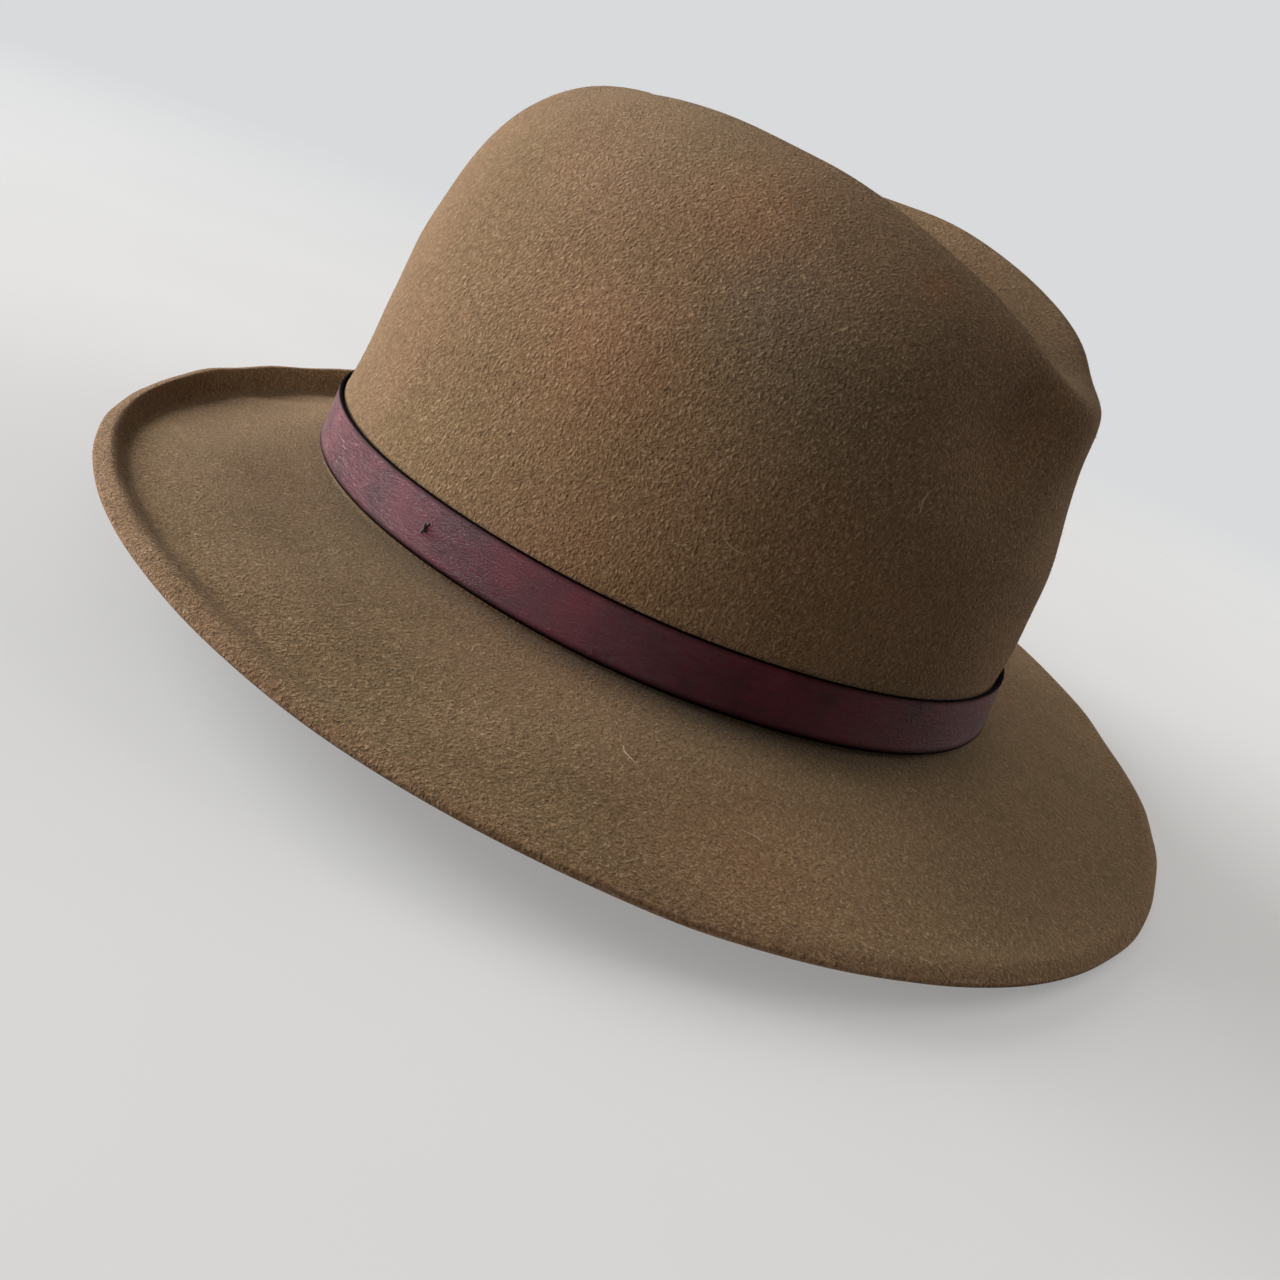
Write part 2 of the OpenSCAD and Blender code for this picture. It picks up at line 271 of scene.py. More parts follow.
def strip_profile(low, high, depth_out, depth_in, rows, corner=4):
    """Height and depth of points round a strip's rounded cross-section."""
    half = (depth_in - depth_out) / 2
    middle = (depth_in + depth_out) / 2
    angles = np.linspace(0, math.pi, 2 * corner + 1)
    heights = np.linspace(low, high, rows)
    out = [(h, depth_out, 0.0) for h in heights]
    over = [(high, middle - half * math.cos(a), half * math.sin(a)) for a in angles[1:-1]]
    inside = [(h, depth_in, 0.0) for h in heights[::-1]]
    under = [(low, middle + half * math.cos(a), -half * math.sin(a)) for a in angles[1:-1]]
    return np.array(out + over + inside + under)


def strip(name, phis, profile, material, shift=0, rise=0):
    """Strip that follows the wall. shift moves its sections out of the wall, rise lifts them."""
    phi = phis[:, None]
    depth = profile[None, :, 1] - shift
    points = wall_below(phi, profile[None, :, 0] + 0 * phi, depth + 0 * phi)
    lift = profile[None, :, 2] + rise
    points = points + xyz(0.0, 0.0, lift + 0 * phi)
    return sweep(name, points, False, material)


def tube(path, radius, sides):
    """Points round a path, one ring for each of its points."""
    ahead = np.vstack([path[1:], path[-1:]])
    behind = np.vstack([path[:1], path[:-1]])
    tangent = unit(ahead - behind)
    helper = np.where(np.abs(tangent[:, 2:]) < 0.9, [[0, 0, 1.0]], [[1.0, 0, 0]])
    side = unit(np.cross(tangent, helper))
    up = np.cross(side, tangent)
    angle = np.arange(sides) * 2 * math.pi / sides
    radius = np.broadcast_to(radius, len(path))[:, None, None]
    around = np.cos(angle)[None, :, None] * side[:, None] + np.sin(angle)[None, :, None] * up[:, None]
    return path[:, None] + radius * around


def threads(name, paths, radius, material, sides=8):
    """Many short round threads with tapered ends, in one mesh."""
    points, faces, first = [], [], 0
    for path in paths:
        path = np.asarray(path, float)
        from_end = np.minimum(np.arange(len(path)), np.arange(len(path))[::-1])
        taper = np.minimum(1, from_end * 0.6 + 0.25)
        rings = tube(path, radius * taper, sides)
        faces += grid_faces(len(path), sides, first=first)
        faces.append([first + j for j in range(sides)])
        faces.append([first + (len(path) - 1) * sides + j for j in range(sides - 1, -1, -1)])
        points.append(rings.reshape(-1, 3))
        first += rings.shape[0] * sides
    return add_mesh(name, np.concatenate(points), faces, material)


# ---------------------------------------------------------------------------
# Materials
# ---------------------------------------------------------------------------
class Nodes:
    """Short way to write the node tree of a material or of the world."""

    def __init__(self, owner):
        owner.use_nodes = True
        self.owner = owner
        self.tree = owner.node_tree
        self.tree.nodes.clear()

    def add(self, kind, inputs=None, **settings):
        node = self.tree.nodes.new("ShaderNode" + kind)
        for key, value in settings.items():
            setattr(node, key, value)
        for key, value in (inputs or {}).items():
            if isinstance(value, bpy.types.NodeSocket):
                self.tree.links.new(value, node.inputs[key])
            else:
                node.inputs[key].default_value = value
        return node

    def attribute(self, name, vector=False):
        node = self.add("Attribute", attribute_name=name)
        return node.outputs["Vector" if vector else "Fac"]

    def place(self):
        return self.add("TexCoord").outputs["Object"]

    def scaled(self, vector, scale):
        return self.add("Mapping", {"Vector": vector, "Scale": scale}).outputs[0]

    def noise(self, vector, scale, detail=3.0, rough=0.55, distort=0.0):
        return self.add("TexNoise", {"Vector": vector, "Scale": scale, "Detail": detail,
                                     "Roughness": rough, "Distortion": distort}).outputs["Fac"]

    def span(self, value, low, high, to_low=0.0, to_high=1.0):
        return self.add("MapRange", {"Value": value, "From Min": low, "From Max": high,
                                     "To Min": to_low, "To Max": to_high}).outputs[0]

    def math(self, operation, a, b=0.0):
        return self.add("Math", {0: a, 1: b}, operation=operation).outputs[0]

    def mix(self, factor, a, b):
        node = self.add("Mix", {"Factor": factor}, data_type="RGBA")
        for index, value in ((6, a), (7, b)):
            if isinstance(value, bpy.types.NodeSocket):
                self.tree.links.new(value, node.inputs[index])
            else:
                node.inputs[index].default_value = (*value, 1.0)
        return node.outputs[2]

    def bump(self, height, strength, distance_mm):
        return self.add("Bump", {"Height": height, "Strength": strength,
                                 "Distance": distance_mm * MM}).outputs[0]

    def finish(self, **inputs):
        named = {key.replace("_", " "): value for key, value in inputs.items()}
        shader = self.add("BsdfPrincipled", named)
        output = self.add("OutputMaterial")
        self.tree.links.new(shader.outputs[0], output.inputs["Surface"])
        return self.owner


def new_material(name):
    return Nodes(bpy.data.materials.new(name))


def rgb(red, green, blue):
    """Linear colour from display values of 0 to 255."""
    return tuple((c / 255) ** 2.2 for c in (red, green, blue))


def felt_material():
    n = new_material("wool_felt")
    place = n.place()
    nap = n.attribute("nap", vector=True)
    streak = n.noise(nap, 1.5, 3.0, 0.62, 0.35)
    grain = n.noise(place, 2300, 2.0, 0.6)
    pebble = n.noise(n.scaled(place, (1, 1, 0.8)), 1450, 3.0, 0.62, 0.2)
    patch = n.noise(place, 22, 3.0, 0.5)
    cloud = n.noise(n.scaled(place, (1, 1, 0.7)), 55, 4.0, 0.55)

    base = n.mix(n.span(patch, 0.35, 0.65), rgb(116, 92, 62), rgb(124, 95, 68))
    base = n.mix(n.span(cloud, 0.45, 0.75, 0, 0.30), base, rgb(104, 87, 56))
    base = n.mix(n.attribute("olive"), base, rgb(112, 91, 50))
    base = n.mix(n.attribute("rust"), base, rgb(142, 90, 56))
    # darker grey on the crown's front right: greyish tint and painted shade
    base = n.mix(n.attribute("grey_and_shade"), base, rgb(86, 76, 66))
    # painted highlight: the brim's rim made lighter, as where its fuzz catches the light
    base = n.mix(n.attribute("edge"), base, rgb(136, 102, 76))
    fine = n.math("ADD", n.math("MULTIPLY", streak, 0.35), n.math("MULTIPLY", grain, 0.3))
    fine = n.math("ADD", fine, n.math("MULTIPLY", pebble, 0.35))
    dark = n.span(fine, 0.37, 0.49, 0.72, 0.0)
    light = n.span(fine, 0.52, 0.61, 0.0, 0.62)
    base = n.mix(dark, base, rgb(54, 40, 24))
    base = n.mix(light, base, rgb(178, 152, 120))

    # painted shade: the brim darkened round the band's foot, most in the crown's shadow at the front right
    base = n.mix(n.attribute("painted_shade"), base, rgb(34, 25, 15))

    height = n.math("ADD", fine, n.math("MULTIPLY", pebble, 0.5))
    normal = n.bump(height, 1.0, 2.1)
    return n.finish(Base_Color=base, Roughness=0.95, Normal=normal, Specular_IOR_Level=0.1,
                    Sheen_Weight=0.2, Sheen_Roughness=0.45, Sheen_Tint=(*rgb(226, 214, 200), 1.0))


def fibre_material(name, color):
    n = new_material(name)
    tone = n.noise(n.place(), 90, 2.0)
    base = n.mix(n.span(tone, 0.3, 0.7), tuple(0.72 * c for c in color), color)
    return n.finish(Base_Color=base, Roughness=0.85, Specular_IOR_Level=0.15, Sheen_Weight=0.4)


def leather_material(name, light, dark, edge, crease=1.0, rough=0.42):
    n = new_material(name)
    place = n.place()
    along = n.attribute("along", vector=True)
    tone = n.noise(place, 60, 4.0, 0.55)
    cells = n.add("TexVoronoi", {"Vector": along, "Scale": 1.5, "Randomness": 1.0},
                  feature="DISTANCE_TO_EDGE").outputs["Distance"]
    cell_edge = n.span(cells, 0.0, 0.22)
    wrinkle = n.noise(n.scaled(along, (0.28, 1.6, 1.0)), 0.9, 5.0, 0.62, 1.2)
    folds = n.span(n.math("ABSOLUTE", n.math("SUBTRACT", wrinkle, 0.5)), 0.0, 0.07)
    pore = n.noise(place, 2400, 2.0, 0.6)

    base = n.mix(n.span(tone, 0.32, 0.68), dark, light)
    base = n.mix(n.span(folds, 0.0, 1.0, 0.35 * crease, 0.0), base, tuple(0.55 * c for c in dark))
    base = n.mix(n.span(cell_edge, 0.0, 1.0, 0.16, 0.0), base, tuple(0.6 * c for c in dark))
    base = n.mix(n.attribute("edge"), base, edge)
    height = n.math("ADD", n.math("MULTIPLY", cell_edge, 0.35), n.math("MULTIPLY", folds, 0.5 * crease))
    height = n.math("ADD", height, n.math("MULTIPLY", pore, 0.35))
    normal = n.bump(height, 0.9, 0.28)
    shine = n.math("ADD", n.span(tone, 0.3, 0.7, rough - 0.06, rough + 0.08),
                   n.math("MULTIPLY", n.attribute("edge"), 0.45))
    gloss = n.span(n.attribute("edge"), 0.0, 1.0, 0.24, 0.02)
    return n.finish(Base_Color=base, Roughness=shine, Normal=normal, Specular_IOR_Level=gloss)


def thread_material(name, color):
    n = new_material(name)
    twist = n.add("TexWave", {"Vector": n.place(), "Scale": 900.0, "Distortion": 2.0},
                  wave_type="BANDS", bands_direction="DIAGONAL").outputs["Fac"]
    base = n.mix(twist, tuple(0.5 * c for c in color), color)
    return n.finish(Base_Color=base, Roughness=0.55, Normal=n.bump(twist, 0.6, 0.08),
                    Specular_IOR_Level=0.35, Sheen_Weight=0.1)


def woven_material(name, color, threads_per_mm=2.2, sheen=0.15):
    n = new_material(name)
    along = n.attribute("along", vector=True)
    split = n.add("SeparateXYZ", {0: along})
    weft = n.math("SINE", n.math("MULTIPLY", split.outputs[0], threads_per_mm * 2 * math.pi))
    warp = n.math("SINE", n.math("MULTIPLY", split.outputs[1], threads_per_mm * 2 * math.pi))
    weave = n.span(n.math("MULTIPLY", weft, warp), -1.0, 1.0)
    tone = n.noise(n.place(), 160, 3.0)
    base = n.mix(weave, tuple(0.55 * c for c in color), color)
    base = n.mix(n.span(tone, 0.3, 0.7, 0.0, 0.25), base, tuple(1.3 * c for c in color))
    return n.finish(Base_Color=base, Roughness=0.8, Normal=n.bump(weave, 0.5, 0.1),
                    Specular_IOR_Level=0.2, Sheen_Weight=sheen)


def satin_material(name, light, dark):
    n = new_material(name)
    along = n.attribute("along", vector=True)
    tone = n.noise(n.scaled(along, (0.05, 0.02, 1)), 1.0, 3.0)
    lines = n.noise(n.scaled(along, (6.0, 0.4, 1.0)), 1.0, 2.0)
    base = n.mix(n.span(tone, 0.3, 0.7), dark, light)
    base = n.mix(n.span(lines, 0.3, 0.7, 0.0, 0.3), base, tuple(0.7 * c for c in dark))
    return n.finish(Base_Color=base, Roughness=0.34, Normal=n.bump(lines, 0.25, 0.08),
                    Specular_IOR_Level=0.5, Anisotropic=0.6, Sheen_Weight=0.15)


def plastic_material(name, color):
    n = new_material(name)
    tone = n.noise(n.place(), 300, 2.0)
    base = n.mix(n.span(tone, 0.3, 0.7), tuple(0.9 * c for c in color), color)
    return n.finish(Base_Color=base, Roughness=0.45, Normal=n.bump(tone, 0.1, 0.05))


# ---------------------------------------------------------------------------
# Felt
# ---------------------------------------------------------------------------
def felt_profile():
    """Places from the middle of the top to the brim's edge, closest where it bends most."""
    return np.concatenate([np.linspace(0.05, 0.88, 32, endpoint=False),
                           np.linspace(0.88, 1.13, 44, endpoint=False),
                           np.linspace(1.13, 2.0, 54, endpoint=False),
                           np.linspace(2.0, 3.0, 12, endpoint=False),
                           np.linspace(3.0, 3.80, 40, endpoint=False),
                           np.linspace(3.80, 4.0, 34)])


def soften(rings, places, centre, wide, rounds, share=1.0):
    """Rounds the fold at one place of the profile; share is how much, round the hat."""
    weight = (bump((places - centre) / wide)[:, None] * share)[..., None]
    for _ in range(rounds):
        smooth = rings.copy()
        smooth[1:-1] = 0.25 * rings[:-2] + 0.5 * rings[1:-1] + 0.25 * rings[2:]
        rings = rings + weight * (smooth - rings)
    return rings


def face_normals(rings):
    across = np.roll(rings, -1, 1) - np.roll(rings, 1, 1)
    return unit(np.cross(across, -np.gradient(rings, axis=0)))


def felt_face():
    """Outer face of the felt, with a fuller nose, a beaded lip and an uneven skin, and its normals."""
    phi, v = turn(COLUMNS)[None, :], PLACES[:, None]
    rings = felt_point(phi, v)
    full = hollow(phi, v, 10, 24, 1.07, 0.21)[..., None]
    rings = rings + 4.6 * full * unit(0.8 * outward(phi) + xyz(0.0, 0.0, 0.6))
    far = hollow(phi, v, 38, 24, 0.98, 0.12)[..., None]
    rings = rings + 3.2 * far * unit(0.6 * outward(phi) + xyz(0.0, 0.0, 0.8))
    nose = bump(degrees_from(phi, 8) / 24)
    rings = soften(rings, PLACES, 1.0, 0.06, 14)
    rings = soften(rings, PLACES, 1.01, 0.15, 700, nose)
    t = np.clip(v - 3, 0, 1)
    step = np.clip((t - 0.865) / 0.10, 0, 1)
    step = step * step * (3 - 2 * step)
    turned = np.clip(LIP + LIP_FRONT * np.cos(phi), 0, None)
    bead = 1.3 * (0.5 - 0.5 * np.cos(phi + 0.9)) ** 0.5 * (step - 0.9 * t ** 50)
    rings = rings + xyz(0.0, 0.0, 0.85 * turned * (step - t ** LIP_TURN) + bead)
    off_band = np.clip((2.0 - v) / 0.25, 0, 1) + np.clip((v - 3.15) / 0.3, 0, 1)
    amount = off_band * (0.35 * ripple(rings, 70, 3) + 0.16 * ripple(rings, 26, 4))
    rings = rings + amount[..., None] * face_normals(rings)
    return rings, face_normals(rings)


COLUMNS = 420
PLACES = felt_profile()
FACE, FACE_NORMAL = felt_face()


def on_grid(grid, phi, v):
    """Value of a grid over the felt at any angle and place."""
    phi, v = np.broadcast_arrays(phi, v)
    row = np.interp(v, PLACES, np.arange(len(PLACES)))
    column = ((phi + math.pi) / (2 * math.pi) * COLUMNS) % COLUMNS
    r0 = np.minimum(row.astype(int), len(PLACES) - 2)
    c0 = column.astype(int) % COLUMNS
    a, b = (row - r0)[..., None], (column - np.floor(column))[..., None]
    c1 = (c0 + 1) % COLUMNS
    upper = grid[r0, c0] * (1 - b) + grid[r0, c1] * b
    lower = grid[r0 + 1, c0] * (1 - b) + grid[r0 + 1, c1] * b
    return upper * (1 - a) + lower * a


def felt_below(phi, v, depth):
    depth = np.asarray(depth, float)[..., None]
    return on_grid(FACE, phi, v) - depth * unit(on_grid(FACE_NORMAL, phi, v))


def spots(points, marks):
    """Soft round marks, each given as centre, radius and strength."""
    total = np.zeros(points.shape[:-1])
    for centre, radius, strength in marks:
        away = np.linalg.norm(points - np.array(centre, float), axis=-1)
        total += strength * bump(away / radius)
    return np.clip(total, 0, 1)


RUST = [((61, -36, 103), 5, 0.55), ((58, -34, 99), 3, 0.3), ((20, -54, 103), 15, 0.30),
        ((8, -76, 60), 20, 0.22), ((30, -88, 2), 26, 0.22), ((100, -100, -6), 22, 0.25)]
# Darker grey patches on the crown's front right: the felt's own greyish tint together with painted shade
# where that side turns away from the light
GREY_AND_SHADE = [((34, -60, 88), 14, 0.32), ((48, -58, 76), 20, 0.3), ((70, -52, 70), 26, 0.25),
         ((70, -40, 98), 14, 0.15)]


def make_felt(material):
    outer = FACE
    inner = soften(outer - FELT * FACE_NORMAL, PLACES, 1.0, 0.08, 40)
    turns = np.linspace(0, math.pi, 11)[1:-1]
    rim_out = outward(turn(COLUMNS)) + 0.5 * (outer[-1] - outer[-3])
    rim = [outer[-1] * (1 + math.cos(a)) / 2 + inner[-1] * (1 - math.cos(a)) / 2
           + 1.4 * math.sin(a) * unit(rim_out) for a in turns]
    rings = np.concatenate([outer, rim, inner[::-1]])
    piece = spindle("felt", rings, outer[0].mean(0), inner[0].mean(0), material)

    length = np.concatenate([[0], np.cumsum(np.linalg.norm(np.diff(outer, axis=0), axis=-1).mean(1))])
    length = np.concatenate([length, length[-1] + 0.4 * np.arange(len(rim)), length[::-1] + 40])
    twist = turn(COLUMNS)[None, :] + 0.0035 * length[:, None]
    nap = xyz(100 * np.cos(twist), 100 * np.sin(twist), 0.5 * length[:, None])
    store(piece, "nap", np.concatenate([[nap[0].mean(0)], nap.reshape(-1, 3), [nap[-1].mean(0)]]))
    outside = np.zeros(rings.shape[:2])
    outside[:len(PLACES) + 3] = 1
    # painted highlight along the brim's rim and over its cut edge
    rim_highlight = np.zeros(rings.shape[:2])
    rim_highlight[:len(PLACES)] = bump((4.0 - PLACES[:, None]) / 0.05) * 0.4
    rim_highlight[len(PLACES):len(PLACES) + len(rim)] = 0.45
    angle, place = turn(COLUMNS)[None, :], PLACES[:, None]
    # painted shade on the brim: the crown's soft shadow at the front right and a dark ring at the band's foot
    painted_shade, olive = np.zeros(outside.shape), np.zeros(outside.shape)
    painted_shade[:len(PLACES)] = 0.65 * hollow(angle, place, -45, 50, 3.02, 0.13) + 0.1 * bump((place - 3.02) / 0.06)
    olive[:len(PLACES)] = 0.38 * np.clip((place - 2.95) / 0.1, 0, 1) * (0.6 + 0.4 * np.cos(angle + 0.6))
    for name, values in (("rust", spots(rings, RUST) * outside),
                         ("grey_and_shade", spots(rings, GREY_AND_SHADE) * outside),
                         ("painted_shade", painted_shade),
                         ("olive", olive),
                         ("edge", rim_highlight)):
        store(piece, name, np.concatenate([[0], values.ravel(), [0]]))
    return piece


def make_nap(material, count):
    """Short fibres that stand a little off the felt's outer face and rim."""
    share = rng.uniform(0, 1, count)
    v = np.where(share < 0.08, rng.uniform(0.25, 1.0, count),
                 np.where(share < 0.54, rng.uniform(1.0, 2.0, count),
                          np.where(share < 0.94, 3.04 + 0.95 * rng.uniform(0, 1, count) ** 0.75,
                                   rng.uniform(3.985, 4.0, count))))
    phi = rng.uniform(-math.pi, math.pi, count)
    normal = unit(on_grid(FACE_NORMAL, phi, v))
    root = on_grid(FACE, phi, v) - 0.05 * normal
    down = unit(on_grid(FACE, phi, v + 0.012) - on_grid(FACE, phi, v - 0.012) + 1e-9)
    across = np.cross(normal, down)
    heading = rng.normal(0.3, 0.8, count)
    lean = np.abs(rng.normal(0.28, 0.22, count))
    lay = np.cos(heading)[:, None] * down + np.sin(heading)[:, None] * across
    way = unit(np.cos(lean)[:, None] * lay + np.sin(lean)[:, None] * normal)
    size = rng.uniform(0.4, 1.1, count) * np.where(v > 3.98, 0.7, 1.0)
    tip = root + way * size[:, None]
    side = unit(np.cross(way, normal))
    thick = rng.uniform(0.020, 0.036, count)[:, None]
    points = np.stack([root + thick * side, root - thick * side, root + 1.6 * thick * normal, tip], 1)
    first = (np.arange(count) * 4)[:, None]
    faces = np.concatenate([first + [0, 2, 1], first + [0, 1, 3], first + [1, 2, 3], first + [2, 0, 3]])
    return add_mesh("felt_nap", points.reshape(-1, 3), faces.tolist(), material, smooth=False)


def make_stray_hairs(material):
    """Loose pale hairs, each given as its angle, place, length in mm, heading and bend."""
    hairs = [(-58, 1.80, 8, 1.35, 1.2), (-36, 1.57, 7, -0.15, 0.9), (-59, 3.47, 7, 0.6, 0.8),
             (-47, 3.60, 6, 1.1, -1.0), (-33, 3.955, 3, 0.9, 0.6), (150, 1.6, 8, 0.4, 1.0),
             (95, 3.5, 7, 1.9, -0.9), (-140, 1.4, 6, 1.0, 0.8)]
    paths = []
    for at, place, length, heading, bend in hairs:
        phi, v = np.array([math.radians(at)]), np.array([place])
        centre, normal = on_grid(FACE, phi, v)[0], unit(on_grid(FACE_NORMAL, phi, v))[0]
        down = unit(on_grid(FACE, phi, v + 0.012) - on_grid(FACE, phi, v - 0.012))[0]
        across = np.cross(normal, down)
        t = np.linspace(-0.5, 0.5, 15)
        angle = heading + bend * t
        step = np.cos(angle)[:, None] * down + np.sin(angle)[:, None] * across
        path = centre + length * np.cumsum(step, 0) / len(t) - length * step.mean(0) / 2
        path = path + (0.35 + 0.3 * np.sin(5 * t))[:, None] * normal
        paths.append(path)
    return threads("stray_hairs", paths, 0.04, material, sides=5)


# ---------------------------------------------------------------------------
# Leather band and its threads
# ---------------------------------------------------------------------------
LAP_AT = math.radians(118)
LAP_ANGLE = 22 / BASE_L
LAP_LIFT = BAND_T + GAP


def band_shift(phi):
    """How far the band stands off the wall: the lap climbs over the other end."""
    over = np.clip((phi - (LAP_AT + 2 * math.pi - 0.16)) / 0.14, 0, 1)
    return LAP_LIFT * over * over * (3 - 2 * over)


def make_band(material):
    phis = np.linspace(LAP_AT, LAP_AT + 2 * math.pi + LAP_ANGLE, 640)
    profile = strip_profile(0.09, 0.96, -GAP - BAND_T, -GAP, 18)
    loose = 0.55 * bump(degrees_from(phis, -18) / 34) + 0.25 * bump(degrees_from(phis, -120) / 25)
    upper = np.clip(profile[:, 0], 0, 1) ** 2
    shift = band_shift(phis)[:, None] + loose[:, None] * upper[None, :]
    wave = 0.16 * np.sin(3 * phis + 1.0) + 0.10 * np.sin(7 * phis)
    rise = wave[:, None] * np.ones(len(profile))
    piece = strip("hat_band_leather", phis, profile, material, shift, rise)
    distance = np.cumsum(np.full(len(phis), 2 * math.pi * BAND_RADIUS / len(phis)))
    u = np.broadcast_to(distance[:, None], (len(phis), len(profile)))
    h = np.broadcast_to(profile[None, :, 0] * BAND_H, u.shape)
    side = np.broadcast_to(profile[None, :, 1], u.shape)
    store(piece, "along", xyz(u, h, side).reshape(-1, 3))
    rim = np.abs(profile[:, 2]) > 1e-6
    near = np.maximum(0.5 * bump((profile[:, 0] - 0.96) / 0.02), bump((profile[:, 0] - 0.09) / 0.05))
    edge = np.where(rim, 1.0, near)
    store(piece, "edge", np.broadcast_to(edge[None, :], u.shape).ravel())
    return piece


def on_band(phi, w, stand):
    """Point above the band's outer face."""
    phi, w = np.atleast_1d(phi), np.atleast_1d(w)
    depth = -(GAP + BAND_T + stand) + 0 * phi - band_shift(phi)
    return wall_below(phi, w + 0 * phi, depth)


def stitch(phi, w, tall, wide, arch):
    """Thread that dives into the band at both ends; tall and wide are its reach in mm."""
    t = np.linspace(-0.5, 0.5, 9)
    at = phi + wide * t / BAND_RADIUS
    height = w + tall * t / BAND_H
    stand = arch - 1.9 * (2 * np.abs(t)) ** 4 * arch
    return on_band(at, height, stand)


def make_tacks(material):
    """Double thread tacks: one on the wearer's right, one opposite it."""
    paths = []
    for at in (-96, 84):
        phi = math.radians(at)
        paths += [stitch(phi, 0.52, 2.7, 1.2, 0.30), stitch(phi + 0.002, 0.53, 2.2, -1.0, 0.5)]
        for end in (-1, 1):
            t = np.linspace(-1, 1, 7)
            knot_phi = phi + end * 0.6 / BAND_RADIUS + 0.3 * t / BAND_RADIUS
            paths.append(on_band(knot_phi, 0.52 + end * 0.084 + 0.006 * t, 0.10 + 0 * t))
    return threads("band_tack_threads", paths, 0.24, material)


def make_lap_stitches(material):
    phi = LAP_AT + LAP_ANGLE - 0.028 + 2 * math.pi
    paths = [stitch(phi, w, 2.3, 0.0, 0.25) for w in (0.2, 0.41, 0.62, 0.83)]
    return threads("lap_stitch_threads", paths, 0.28, material)


# ---------------------------------------------------------------------------
# Sweatband, reed tape, bow and their threads
# ---------------------------------------------------------------------------
def store_along(piece, phis, profile):
    """Length along a strip, height and nearness to its edges, for its material."""
    u = np.broadcast_to((phis * SWEAT_RADIUS)[:, None], (len(phis), len(profile)))
    h = np.broadcast_to(profile[None, :, 0] * BAND_H, u.shape)
    store(piece, "along", xyz(u, h, 0 * u).reshape(-1, 3))
    low, high = profile[:, 0].min(), profile[:, 0].max()
    near = np.maximum(bump((profile[:, 0] - low) / 0.03), bump((profile[:, 0] - high) / 0.03))
    edge = np.where(np.abs(profile[:, 2]) > 1e-6, 1.0, 0.8 * near)
    store(piece, "edge", np.broadcast_to(edge[None, :], u.shape).ravel())


def make_sweatband(material):
    joint = math.radians(0.35)
    phis = np.linspace(-math.pi + joint, math.pi - joint, 420)
    profile = strip_profile(0.0, 1.17, SWEAT_OUT, SWEAT_IN, 26)
    wave = 0.18 * np.sin(5 * phis) + 0.12 * np.sin(11 * phis + 1)
    top = np.clip(profile[:, 0] - 0.8, 0, 1) / 0.37
    rise = wave[:, None] * top[None, :] * 1.4
    groove = 0.22 * bump((profile[:, 0] - 0.24) / 0.025) * (profile[:, 1] > SWEAT_OUT + 0.6)
    shift = groove[None, :] + 0 * phis[:, None]
    piece = strip("sweatband_leather", phis, profile, material, shift, rise)
    store_along(piece, phis, profile)
    return piece


def make_reed_tape(material):
    phis = turn(360)
    depth = (SWEAT_OUT + SWEAT_IN) / 2
    path = wall_below(phis, 0 * phis, depth + 0 * phis) - [0, 0, 1.7]
    sides = 14
    radius = 1.28 + 0.04 * np.sin(phis * 90)
    angle = np.arange(sides) * 2 * math.pi / sides
    out, up = outward(phis)[:, None], np.array([0, 0, 1.0])
    around = np.cos(angle)[None, :, None] * out + np.sin(angle)[None, :, None] * up
    points = path[:, None] + radius[:, None, None] * around
    piece = sweep("reed_tape_cloth", points, True, material)
    u = np.broadcast_to((phis * SWEAT_RADIUS)[:, None], points.shape[:2])
    h = np.broadcast_to((angle * 1.3)[None, :], points.shape[:2])
    store(piece, "along", xyz(u, h, 0 * u).reshape(-1, 3))
    return piece


def make_sweat_stitches(material):
    """Running stitches that hold the sweatband's lower edge."""
    paths = []
    for at in np.radians(np.arange(-175, 176, 3.2)):
        t = np.linspace(-0.5, 0.5, 7)
        phi = at + 3.2 * t / SWEAT_RADIUS
        depth = SWEAT_IN + 0.22 - 0.5 * (2 * np.abs(t)) ** 4
        paths.append(wall_below(phi, 0.12 + 0.012 * t, depth))
    return threads("sweatband_stitch_threads", paths, 0.22, material, sides=6)


def make_seam_stitches(material):
    paths = []
    for w in np.arange(0.16, 1.08, 0.085):
        for lean in (-1, 1):
            t = np.linspace(-0.5, 0.5, 7)
            phi = math.pi + 2.6 * t / SWEAT_RADIUS
            depth = SWEAT_IN + 0.25 + (0.4 if lean > 0 else 0) - 0.5 * (2 * np.abs(t)) ** 4
            paths.append(wall_below(phi, w + lean * 0.085 * t, depth))
    return threads("seam_stitch_threads", paths, 0.2, material, sides=6)


def make_back_tape(material):
    phis = np.linspace(math.radians(176), math.radians(184), 40)
    profile = strip_profile(0.08, 1.1, LINING_IN + GAP, LINING_IN + GAP + 0.3, 16, corner=2)
    piece = strip("back_joint_tape", phis, profile, material)
    store_along(piece, phis, profile)
    return piece


def ribbon(points, up, width, thick):
    """Cross-sections of a flat ribbon along a path; up is the direction of its width."""
    ahead = unit(np.gradient(points, axis=0))
    flat = unit(np.cross(up, ahead))
    corners = [(-1, -1), (-0.6, -1.15), (0.6, -1.15), (1, -1), (1, 1), (0.6, 1.15), (-0.6, 1.15), (-1, 1)]
    return np.stack([points + a * width / 2 * up + b * thick / 2 * flat for a, b in corners], 1)


